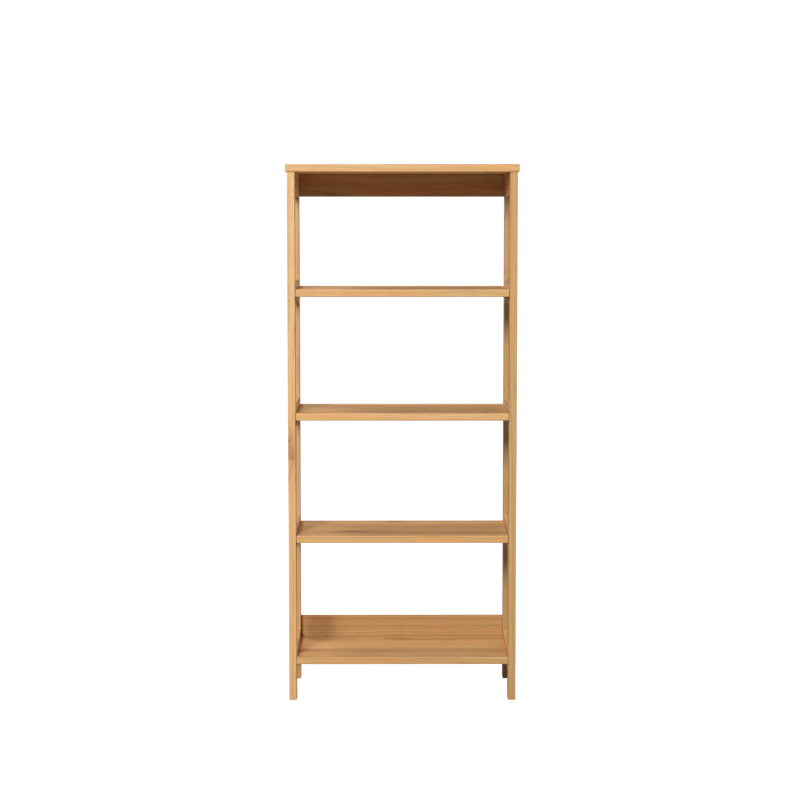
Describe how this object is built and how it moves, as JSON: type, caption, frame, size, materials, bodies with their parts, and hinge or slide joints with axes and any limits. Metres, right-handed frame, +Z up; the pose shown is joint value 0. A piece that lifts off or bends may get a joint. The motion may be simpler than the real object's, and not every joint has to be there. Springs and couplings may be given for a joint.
{
  "type": "bookcase with adjustable shelves",
  "caption": "Tall open bookcase in light solid wood, with ladder sides, back rails, a top, a fixed bottom shelf and shelves resting on pins.",
  "frame": {"origin": "on the floor, under the middle of the bookcase's plan", "axes": "+Z up; the open front faces -Y and the back faces +Y; +X is to the right for a person facing the front"},
  "size_m": [0.7, 0.345, 1.625],
  "materials": {
    "post_wood": "satin, clear lacquered oak, grain upright",
    "rail_wood": "satin, clear lacquered oak, grain along the rail",
    "shelf_wood": "satin, clear lacquered oak, edge-glued staves",
    "top_wood": "satin, clear lacquered oak, edge-glued staves",
    "dowel_wood": "bare turned beech",
    "pin_steel": "bronze-coloured plating",
    "zinc_steel": "bright zinc-plated",
    "cam_metal": "die-cast zinc, dull"
  },
  "bodies": {
    "frame": {"left_front_post": "post_wood", "left_rear_post": "post_wood", "left_bottom_side_rail": "rail_wood", "left_lower_side_rail": "rail_wood", "left_middle_side_rail": "rail_wood", "left_upper_side_rail": "rail_wood", "left_top_side_rail": "rail_wood", "right_front_post": "post_wood", "right_rear_post": "post_wood", "right_bottom_side_rail": "rail_wood", "right_lower_side_rail": "rail_wood", "right_middle_side_rail": "rail_wood", "right_upper_side_rail": "rail_wood", "right_top_side_rail": "rail_wood", "upper_back_rail": "rail_wood", "lower_back_rail": "rail_wood", "bottom_shelf": "shelf_wood", "top_panel": "top_wood", "lower_shelf_pin_left_front": "pin_steel", "lower_shelf_pin_left_rear": "pin_steel", "middle_shelf_pin_left_front": "pin_steel", "middle_shelf_pin_left_rear": "pin_steel", "upper_shelf_pin_left_front": "pin_steel", "upper_shelf_pin_left_rear": "pin_steel", "bottom_shelf_screw_left_front": "zinc_steel", "bottom_shelf_screw_left_rear": "zinc_steel", "upper_back_rail_screw_left": "zinc_steel", "upper_back_rail_dowel_left": "dowel_wood", "lower_back_rail_screw_left": "zinc_steel", "lower_back_rail_dowel_left": "dowel_wood", "top_cam_left_front": "cam_metal", "top_cam_bolt_left_front": "zinc_steel", "top_cam_left_rear": "cam_metal", "top_cam_bolt_left_rear": "zinc_steel", "lower_shelf_pin_right_front": "pin_steel", "lower_shelf_pin_right_rear": "pin_steel", "middle_shelf_pin_right_front": "pin_steel", "middle_shelf_pin_right_rear": "pin_steel", "upper_shelf_pin_right_front": "pin_steel", "upper_shelf_pin_right_rear": "pin_steel", "bottom_shelf_screw_right_front": "zinc_steel", "bottom_shelf_screw_right_rear": "zinc_steel", "upper_back_rail_screw_right": "zinc_steel", "upper_back_rail_dowel_right": "dowel_wood", "lower_back_rail_screw_right": "zinc_steel", "lower_back_rail_dowel_right": "dowel_wood", "top_cam_right_front": "cam_metal", "top_cam_bolt_right_front": "zinc_steel", "top_cam_right_rear": "cam_metal", "top_cam_bolt_right_rear": "zinc_steel"},
    "lower_shelf_board": {"lower_shelf": "shelf_wood"},
    "middle_shelf_board": {"middle_shelf": "shelf_wood"},
    "upper_shelf_board": {"upper_shelf": "shelf_wood"}
  },
  "joints": [
    {"name": "lower_shelf_lift", "type": "slide", "parent": "frame", "child": "lower_shelf_board", "axis": [0, 0, 1], "range_m": [0, 0.064]},
    {"name": "middle_shelf_lift", "type": "slide", "parent": "frame", "child": "middle_shelf_board", "axis": [0, 0, 1], "range_m": [0, 0.064]},
    {"name": "upper_shelf_lift", "type": "slide", "parent": "frame", "child": "upper_shelf_board", "axis": [0, 0, 1], "range_m": [0, 0.064]}
  ]
}
